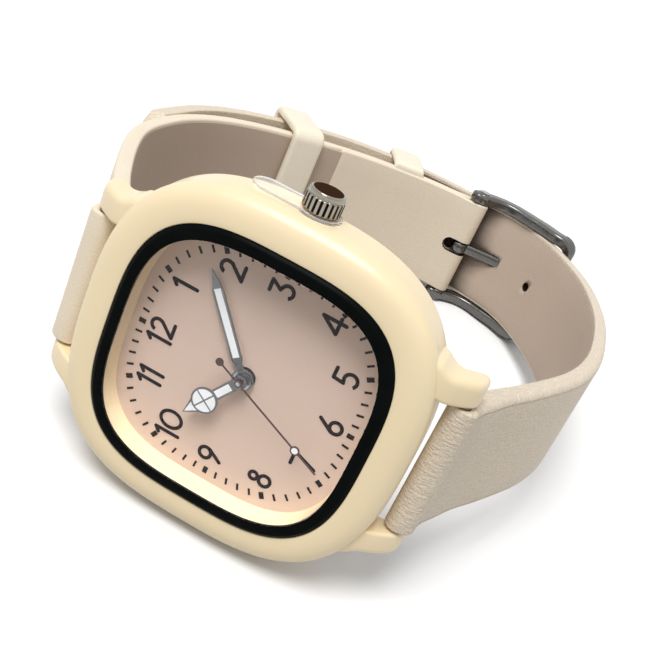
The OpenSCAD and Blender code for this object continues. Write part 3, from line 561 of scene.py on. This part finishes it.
def spline(path):
    pts = [Vector((0, a, b)) for a, b in path]
    out = []
    for i in range(len(pts) - 1):
        a, b = pts[max(i - 1, 0)], pts[i]
        c, d = pts[i + 1], pts[min(i + 2, len(pts) - 1)]
        for k in range(STEPS):
            t = k / STEPS
            out.append(0.5 * (2 * b + (c - a) * t + (2 * a - 5 * b + 4 * c - d) * t * t
                              + (3 * b - a - 3 * c + d) * t ** 3))
    return out + [pts[-1]]


def frames(line, side):
    """Each point of a line with its tangent and the direction away from the wrist."""
    out = []
    for k, p in enumerate(line):
        t = (line[min(k + 1, len(line) - 1)] - line[max(k - 1, 0)]).normalized()
        out.append((p, t, side * Vector((0, -t.z, t.y))))
    return out


def lengths(line):
    run = [0.0]
    for a, b in zip(line, line[1:]):
        run.append(run[-1] + (b - a).length)
    return run


def section(w, t, r0, r1, n=6):
    """A strap's cross-section, (across, depth), rounded by r0 inside and r1 outside."""
    h = w / 2
    pts = arc(h - r0, r0, r0, 270, 360, n) + arc(h - r1, t - r1, r1, 0, 90, n)
    pts += [(h * k, t) for k in (0.6, 0.2, -0.2, -0.6)]
    pts += arc(r1 - h, t - r1, r1, 90, 180, n) + arc(r0 - h, r0, r0, 180, 270, n)
    pts += [(h * k, 0) for k in (-0.6, -0.2, 0.2, 0.6)]
    return pts


# A strip's end closes in rings: how far along the end each lies, and how closed it is.
END_RINGS = ((0.45, 0.12), (0.8, 0.4), (1.0, 0.85))
END_THINNER, END_NARROWER = 0.7, 0.04
SIDE_ZONE = 0.7                     # the grain turns down the sides this close to them


def strip(stations, r0, r1, ends=0.35):
    """Leather through stations of (inner point, outer point, width, run), with soft ends."""
    rings, uvs = [], []
    for inner, outer, w, run in stations:
        n = (outer - inner).normalized()
        t = (outer - inner).length
        pts = section(w, t, min(r0, t / 2.1), min(r1, t / 2.1))
        rings.append([tuple(inner + n * d + Vector((x, 0, 0))) for x, d in pts])
        uvs += [(run * MM, (x + (d if abs(x) > w / 2 - SIDE_ZONE else 0)) * MM)
                for x, d in pts]

    def end_rings(at, beyond, base):
        mid = (at[0] + at[1]) / 2
        out = (mid - (beyond[0] + beyond[1]) / 2).normalized()
        n = (at[1] - at[0]).normalized()
        grown = []
        for move, close in END_RINGS:
            thin, narrow = 1 - END_THINNER * close, 1 - END_NARROWER * close
            grown.append([tuple(mid + n * v.dot(n) * thin + Vector((v.x * narrow, 0, 0))
                                + out * move * ends)
                          for v in (Vector(q) - mid for q in base)])
        return grown

    first = end_rings(stations[0], stations[1], rings[0])
    last = end_rings(stations[-1], stations[-2], rings[-1])
    per, more = len(rings[0]), len(END_RINGS)
    uvs = uvs[:per] * more + uvs + uvs[-per:] * more
    verts, faces = loft(first[::-1] + rings + last)
    return verts, faces, uvs


def polar(c, angle, r, side=1):
    a = math.radians(angle)
    return Vector((0, c[0] + side * r * math.cos(a), c[1] + r * math.sin(a)))


line_12, line_6 = spline(PATH_12), spline(PATH_6)
run_12, run_6 = lengths(line_12), lengths(line_6)
TAIL_POINT, TAIL_FLAT, TAIL_SHAPE = 5, 2.5, 0.85
FLAP_FROM = 42 * STEPS // CAD_STEPS
FULL = 0.42                         # how much fuller the leather is past a spring bar
SWELL, SWELL_RUN = 0.36, 9
ROLL_FROM, ROLL_STEP = 220, 10
ROLL_LEAVES = ((0.18, -18), (0.34, -38), (0.48, -62))


def full_width(s):
    return STRAP_W


def tail_width(s):
    """The strap's width, down to the blunt point of its free end."""
    left = run_6[-1] - s
    if left >= TAIL_POINT:
        return STRAP_W
    flat = 2 * TAIL_FLAT
    return flat + (STRAP_W - flat) * (max(left, 0) / TAIL_POINT) ** TAIL_SHAPE


def round_bar(side):
    """Stations of the leather that comes round a spring bar and leaves it for the strap."""
    c = (side * BAR_Y, BAR_Z)
    out = []
    for a in range(ROLL_FROM, -1, -ROLL_STEP):
        r = ROLL_R + FULL * ease((90 - a) / 90)
        out.append((polar(c, a, BORE_R, side), polar(c, a, r, side), STRAP_W,
                    -ROLL_R * math.radians(a)))
    for drop, a in ROLL_LEAVES:
        outer = Vector((0, side * (BAR_Y + ROLL_R + FULL + 0.12 * drop), BAR_Z - drop))
        out.append((polar(c, a, BORE_R, side), outer, STRAP_W, drop))
    return out


def strap_body(line, run, side, width_at, last, thicker, inside):
    """Stations of the strap proper, a little thicker where it leaves the spring bar.

    thicker(point) and inside(index) say how far the outer and the inner side lie out.
    """
    fr = frames(line, side)
    first = next(k for k, p in enumerate(line) if p.z < BAR_Z - 1.4)
    out = []
    for k in range(first, last + 1):
        p, _, n = fr[k]
        s = run[k] - run[first]
        d = STRAP_T + (SWELL + FULL) * (1 - ease(s / SWELL_RUN)) + thicker(p)
        out.append((p + n * inside(k), p + n * d, width_at(run[k]), 0.9 + s))
    return out


# 12 o'clock strap: round the lug's bar, along, round the buckle's bar and back as the flap.
FOLD_FROM, FOLD_STEP, FOLD_LEAD = 290, 10, 1.8
FLAP_OUT, FLAP_IN, FLAP_NARROWER = 0.56, -0.12, 0.06


def thicker_12(p):
    """The strap gains what the flap's leather adds by the buckle."""
    return 0.6 * ease((-3.8 - p.y) / 3)


def inside_12(k):
    """The strap's inner side moves out where the flap lies under it."""
    return 0.62 * ease((k - FLAP_FROM + 3) / 4)


fr_12 = frames(line_12, 1)
turn_at = max(k for k, p in enumerate(line_12) if p.y > -6.1)
around = round_bar(1) + strap_body(line_12, run_12, 1, full_width, turn_at, thicker_12,
                                   inside_12)
end_run = around[-1][3] + FOLD_LEAD
for i in range(21):
    a = FOLD_FROM - FOLD_STEP * i
    around.append((polar(PIVOT, a, BORE_R), polar(PIVOT, a, ROLL_R), STRAP_W,
                   end_run + ROLL_R * math.radians(FOLD_FROM - a)))
end_run = around[-1][3]
for k in range(len(line_12) - 5, FLAP_FROM - 1, -1):
    p, _, n = fr_12[k]
    around.append((p + n * FLAP_OUT, p + n * FLAP_IN, STRAP_W - FLAP_NARROWER,
                   end_run + run_12[-1] - run_12[k]))
v, f, uv = strip(around, 0.3, 0.6)
strap_12 = add("strap_12_outer", v, f, M["smooth"], "watch", "strap_12_leather", slot="leather",
               sharp=60, uvs=uv)


# 6 o'clock strap, to its blunt point.
def thicker_6(p):
    """The free end thins out beyond the 12 o'clock side's bend."""
    return -1.1 * ease((p.z + 35) / 4.5) if p.y > 0 else 0


def inside_6(k):
    """Past the buckle the strap lies close to the other half under it."""
    return -0.4 * ease((run_6[k] - 90) / 8)


v, f, uv = strip(round_bar(-1) + strap_body(line_6, run_6, -1, tail_width, len(line_6) - 1,
                                            thicker_6, inside_6), 0.16, 0.9)
strap_6 = add("strap_6_outer", v, f, M["leather"], "watch", "strap_6_leather", slot="leather",
              sharp=60, uvs=uv)

LINING_PROUD, LINING_BEDDED, LINING_NARROWER, LINING_R = 0.07, 0.5, 0.9, 0.06


def lining(name, line, run, side, first, last, width_at, node, look):
    """A thin layer that stands a little proud of the leather's inner side."""
    out = [(p - n * LINING_PROUD, p + n * LINING_BEDDED, width_at(s) - LINING_NARROWER, s)
           for (p, _, n), s in list(zip(frames(line, side), run))[first:last + 1]]
    v, f, uv = strip(out, LINING_R, LINING_R, 0.1)
    return add(name, v, f, M[look], "watch", node, slot="lining", sharp=60, uvs=uv)


lining("strap_12_inner", line_12, run_12, 1, STEPS, FLAP_FROM + 2, full_width,
       "strap_12_lining", "lining")
lining_6 = lining("strap_6_inner", line_6, run_6, -1, STEPS, len(line_6) - 3, tail_width,
                  "strap_6_lining", "lining_6")


# The strap's holes and the slot for the tongue, cut with walls of dark brown painted shade.
def carve(obj, *cutters):
    """Takes the cutters out of a piece, and removes them."""
    for c in cutters:
        mod = obj.modifiers.new("cut", "BOOLEAN")
        mod.operation = "DIFFERENCE"
        mod.solver = "EXACT"
        mod.material_mode = "TRANSFER"
        mod.object = c
    deps = bpy.context.evaluated_depsgraph_get()
    mesh = bpy.data.meshes.new_from_object(obj.evaluated_get(deps))
    obj.modifiers.clear()
    old = obj.data
    obj.data = mesh
    bpy.data.meshes.remove(old)
    for c in cutters:
        bpy.data.objects.remove(c)


def cutter(rings):
    mesh = mesh_of("cutter", *loft(rings))
    # The walls it cuts take this painted shade.
    mesh.materials.append(M["hole_shade"])
    bm = bmesh.new()
    bm.from_mesh(mesh)
    bmesh.ops.recalc_face_normals(bm, faces=bm.faces)
    bm.to_mesh(mesh)
    bm.free()
    obj = bpy.data.objects.new("cutter", mesh)
    scene.collection.objects.link(obj)
    return obj


HOLE_R, HOLE_POINTS, PITCH, TONGUE_K = 0.7, 24, 7.2, 44
HOLES = range(-1, 6)                # counted from the tongue's, towards the free end
SLOT_R, SLOT_END, SLOT_OPEN, SLOT_Z = 1.1, -6.9, -11, (-70, -64.5)


def hole(at):
    """A cutter through the 6 o'clock strap where its run is at."""
    k = next(k for k, run in enumerate(run_6) if run >= at)
    t = (line_6[k] - line_6[k - 1]).normalized()
    p = line_6[k] + t * (at - run_6[k])
    out = -Vector((0, -t.z, t.y))
    turns = [2 * math.pi * (i + 0.5) / HOLE_POINTS for i in range(HOLE_POINTS)]
    return cutter([[tuple(p + out * d + t * HOLE_R * math.cos(a)
                          + Vector((HOLE_R * math.sin(a), 0, 0))) for a in turns]
                   for d in (-1, STRAP_T + 1)])


coarse_run = lengths(line_6[::STEPS // CAD_STEPS])
for piece in (strap_6, lining_6):
    carve(piece, *[hole(coarse_run[TONGUE_K] + i * PITCH) for i in HOLES])
outline = [(SLOT_R * math.cos(a), SLOT_END + SLOT_R * max(0, math.sin(a)))
           for a in (math.radians(d) for d in range(0, 181, 20))]
outline += [(-SLOT_R, SLOT_OPEN), (SLOT_R, SLOT_OPEN)]
carve(strap_12, cutter([[(x, y, z) for x, y in outline] for z in SLOT_Z]))

# Keepers: a leather loop with rounded edges.
KEEPER_LEN, KEEPER_BEND, KEEPER_EDGE, KEEPER_INNER_EDGE = 4.8, 0.6, 0.6, 0.25
KEEPER_UV = 0.05                    # metres that set its grain off the strap's


def keeper(name, k, lo, hi, body, node, gap, thick, under):
    """A loop round the straps at step k of the CAD's 12 o'clock path.

    It reaches from lo to hi above the path, with gap at each side. It is thick outside, and
    under is its thickness by the wrist.
    """
    p, t, n = frames(line_12, 1)[k * STEPS // CAD_STEPS]
    half_w, half_h, end = STRAP_W / 2 + gap, (hi - lo) / 2, KEEPER_LEN / 2
    mid = p + n * (lo + half_h)
    loop = []
    for cx, cy, a0 in ((1, 1, 0), (-1, 1, 90), (-1, -1, 180), (1, -1, 270)):
        for i in range(9):
            a = math.radians(a0 + 90 * i / 8)
            loop.append((cx * (half_w - KEEPER_BEND), cy * (half_h - KEEPER_BEND),
                         math.cos(a), math.sin(a)))
    edge, inner = KEEPER_EDGE, KEEPER_INNER_EDGE
    prof = arc(-end + edge, thick - edge, edge, 180, 90, 6)
    prof += arc(end - edge, thick - edge, edge, 90, 0, 6)
    prof += arc(end - inner, inner, inner, 0, -90, 3)
    prof += arc(-end + inner, inner, inner, 270, 180, 3)
    rings = []
    for x, y, dx, dy in loop:
        deep = thick if dy >= 0 else thick + (under - thick) * dy * dy
        ring = []
        for along, out in prof:
            grow = KEEPER_BEND + min(out, thick)
            flat = KEEPER_BEND + min(out, thick) * deep / thick
            ring.append(tuple(mid + Vector((x + dx * grow, 0, 0)) + n * (y + dy * flat)
                              + t * along))
        rings.append(ring)
    v, f = loft(rings, loop=True)
    outer_line = lengths([Vector(ring[6]) for ring in rings])
    uv = [(run * MM + KEEPER_UV, along * MM) for run in outer_line for along, out in prof]
    add(name, v, f, M["keeper"], body, node, slot="leather", sharp=50, uvs=uv)


keeper("keeper_fixed", 47, 0.45, 7.5, "watch", "fixed_keeper", gap=0.1, thick=0.95, under=0.3)
keeper("keeper_free", 39, -0.4, 7.8, "free_keeper", "free_keeper", gap=0.35, thick=1.2,
       under=1.2)

# Buckle: a rounded frame swept from eye to eye through its catch, and a tongue.
CATCH, CATCH_R, CATCH_POWER = (-23.5, -66.3), 0.9, 2.2
ARM_IN, ARM_OUT, ARM_POWER = 7.72, 9.3, 5.5
ARM_X, ARM_HALF = (ARM_IN + ARM_OUT) / 2, (ARM_OUT - ARM_IN) / 2
ARM_NOSE = ((1.75, 0.35), (1.68, 0.6), (1.5, 0.82), (1.2, 0.95), (0.8, 1))
NOSE_DEPTH, NOSE_POWER = 1.15, 4
ARM_STEPS, ARM_DEPTH, ARM_DEEPER, ARM_INWARD = 24, 1.1, 0.1, 1.75
CORNER, CORNER_STEPS, CORNER_LIFT = 1.5, 8, 2.4
EYE_R, EYE_BORE, EYE_EDGE, EYE_POINTS = 1.25, 0.75, 0.15, 36
TONGUE_HALF, TONGUE_DEPTH, TONGUE_POWER, TONGUE_TIP, TONGUE_BORE = 0.8, 0.45, 3, 0.6, 0.8
SWEEP_POINTS = 28


def bez(a, b, c, n):
    return [(a[0] * (1 - t) ** 2 + b[0] * 2 * t * (1 - t) + c[0] * t * t,
             a[1] * (1 - t) ** 2 + b[1] * 2 * t * (1 - t) + c[1] * t * t)
            for t in [i / n for i in range(n + 1)]]


def sweep(stations):
    """A skin through stations of (point, normal, half depth, half width, power): the power
    is 2 for a round section and grows with squareness."""
    points = [s[0] for s in stations]
    rings = []
    for k, (p, n, deep, wide, power) in enumerate(stations):
        t = (points[min(k + 1, len(points) - 1)] - points[max(k - 1, 0)]).normalized()
        n = (n - t * n.dot(t)).normalized()
        b = t.cross(n)
        ring = []
        for i in range(SWEEP_POINTS):
            a = 2 * math.pi * i / SWEEP_POINTS
            c, s = math.cos(a), math.sin(a)
            r = (abs(c) ** power + abs(s) ** power) ** (-1 / power)
            ring.append(tuple(p + n * deep * r * c + b * wide * r * s))
        rings.append(ring)
    return loft(rings)


def eye(x0, x1, bore):
    rings = []
    for x, r in ((x0, EYE_R - EYE_EDGE), (x0 + EYE_EDGE, EYE_R), (x1 - EYE_EDGE, EYE_R),
                 (x1, EYE_R - EYE_EDGE), (x1, bore), (x0, bore)):
        rings.append([(x, PIVOT[0] + r * math.cos(2 * math.pi * i / EYE_POINTS),
                       PIVOT[1] + r * math.sin(2 * math.pi * i / EYE_POINTS))
                      for i in range(EYE_POINTS)])
    return loft(rings, loop=True)


arm = [Vector((0, y, z)) for y, z in bez(PIVOT, (-16.1, -72.9), CATCH, ARM_STEPS)]
aside = Vector((ARM_X, 0, 0))
half = []
start = (arm[0] - arm[1]).normalized()
for reach, f in ARM_NOSE:
    half.append((aside + arm[0] + start * reach, Vector((0, -start.z, start.y)),
                 NOSE_DEPTH * f, ARM_HALF * (0.5 + 0.5 * f), NOSE_POWER))
for k, p in enumerate(arm[:-3]):
    t = (arm[k + 1] - arm[max(k - 1, 0)]).normalized()
    n = Vector((0, t.z, -t.y))
    half.append((aside + p + n * ARM_INWARD * ease((k - 3) / 12), n,
                 ARM_DEPTH + ARM_DEEPER * ease((k - 5) / 8), ARM_HALF, ARM_POWER))
end, bend = arm[-1], arm[-4]
back = (bend - end).normalized()
lift = half[-1][0] - bend - aside
for i in range(1, CORNER_STEPS + 1):
    f = i / CORNER_STEPS
    a = math.pi / 2 * f
    p = (end + Vector((ARM_X - CORNER + CORNER * math.cos(a), 0, 0))
         + back * CORNER * (1 - math.sin(a)) + lift * (1 - f) ** CORNER_LIFT)
    half.append((p, n, ARM_DEPTH + ARM_DEEPER - 0.3 * f, ARM_HALF + (CATCH_R - ARM_HALF) * f,
                 ARM_POWER - (ARM_POWER - CATCH_POWER) * f))
bar = [(end + Vector((x, 0, 0)), n, CATCH_R, CATCH_R, CATCH_POWER) for x in (3, 0, -3)]
mirrored = [(Vector((-p.x, p.y, p.z)), *rest) for p, *rest in half[::-1]]
frame_parts = [sweep(half + bar + mirrored), eye(ARM_IN, ARM_OUT, EYE_BORE),
               eye(-ARM_OUT, -ARM_IN, EYE_BORE)]
add("buckle_loop", *joined(*frame_parts), M["gunmetal"], "buckle", "buckle_frame", slot="chrome",
    sharp=50)

tongue = bez((-8.6, -67.2), (-13.5, -68.4), (-18.4, -69.1), 12)
tongue += bez((-19.6, -69.1), (-23, -68.6), (-25.2, -66.7), 12)
tongue = [Vector((0, y, z)) for y, z in tongue]
stations = []
for k, p in enumerate(tongue):
    t = (tongue[min(k + 1, len(tongue) - 1)] - tongue[max(k - 1, 0)]).normalized()
    f = TONGUE_TIP if k == len(tongue) - 1 else 1
    stations.append((p, Vector((0, t.z, -t.y)), TONGUE_DEPTH * f, TONGUE_HALF * f,
                     TONGUE_POWER))
add("buckle_pin", *joined(sweep(stations), eye(-TONGUE_HALF, TONGUE_HALF, TONGUE_BORE)),
    M["gunmetal"], "tongue", "buckle_tongue", slot="chrome", sharp=50)

# Camera: the photograph's viewing angle, from a fit to the dial's minute track.
IMAGE_PX, FOCAL_PX = 660, 1002.7
CAM_POS = (48.84, -18.11, 83.33)
CAM_RIGHT = (0.3816, -0.8692, -0.3143)
CAM_BACK = (0.4294, -0.1344, 0.8931)


def direction(v):
    return (row(v) - row((0, 0, 0))).normalized()


cam = bpy.data.cameras.new("camera")
cam.sensor_width = 36
cam.lens = FOCAL_PX / IMAGE_PX * cam.sensor_width
cam.clip_start, cam.clip_end = 0.005, 5
cam_obj = bpy.data.objects.new("camera", cam)
scene.collection.objects.link(cam_obj)
right, backward = direction(CAM_RIGHT), direction(CAM_BACK)
up = backward.cross(right).normalized()
right = up.cross(backward).normalized()
place = row(CAM_POS)
cam_obj.matrix_world = Matrix((
    (right.x, up.x, backward.x, place.x), (right.y, up.y, backward.y, place.y),
    (right.z, up.z, backward.z, place.z), (0, 0, 0, 1)))
scene.camera = cam_obj


# Floor, at the object's lowest point: white to the camera, grey to the object's bounce light.
def seen_by_camera(tree):
    """1 for camera rays, and for gloss and glass rays that no matt surface has scattered."""
    path = tree.nodes.new("ShaderNodeLightPath")
    gloss = calc(tree, "MAXIMUM", path.outputs["Is Transmission Ray"],
                 path.outputs["Is Glossy Ray"])
    direct = calc(tree, "LESS_THAN", path.outputs["Diffuse Depth"], 0.5)
    return calc(tree, "MAXIMUM", path.outputs["Is Camera Ray"],
                calc(tree, "MULTIPLY", gloss, direct))


FLOOR_HALF = 1.5                    # metres
FLOOR_GREY, FLOOR_WHITE = (0.42, 0.41, 0.4, 1), (0.99, 0.99, 0.99, 1)
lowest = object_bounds()[0].z
plane = bpy.data.meshes.new("floor")
plane.from_pydata([(x * FLOOR_HALF, y * FLOOR_HALF, lowest)
                   for x, y in ((-1, -1), (1, -1), (1, 1), (-1, 1))], [], [(0, 1, 2, 3)])
floor = bpy.data.objects.new("floor", plane)
scene.collection.objects.link(floor)
paper, nt, bsdf = new_material("floor_paper")
bsdf.inputs["Roughness"].default_value = 1.0
bsdf.inputs["Specular IOR Level"].default_value = 0.0
nt.links.new(mixed(nt, seen_by_camera(nt), FLOOR_GREY, FLOOR_WHITE), bsdf.inputs["Base Color"])
plane.materials.append(paper)

# Light: a soft sky and one broad, soft sun from above.
SKY, SKY_SEEN = 0.53, 1.0
SUN, SUN_SPREAD, SUN_FROM = 2.1, math.radians(28), Vector((-0.12, -0.32, 0.91))
world = bpy.data.worlds.new("world")
scene.world = world
world.use_nodes = True
tree = world.node_tree
sky = tree.nodes["Background"]
sky.inputs["Color"].default_value = (1, 1, 1, 1)
tree.links.new(spread(tree, seen_by_camera(tree), SKY, SKY_SEEN, 0, 1), sky.inputs["Strength"])
sun = bpy.data.lights.new("sun", "SUN")
sun.energy = SUN
sun.angle = SUN_SPREAD
sun_obj = bpy.data.objects.new("sun", sun)
scene.collection.objects.link(sun_obj)
sun_obj.rotation_mode = "QUATERNION"
sun_obj.rotation_quaternion = (-SUN_FROM).to_track_quat("-Z", "Y")

scene.view_settings.view_transform = "Standard"
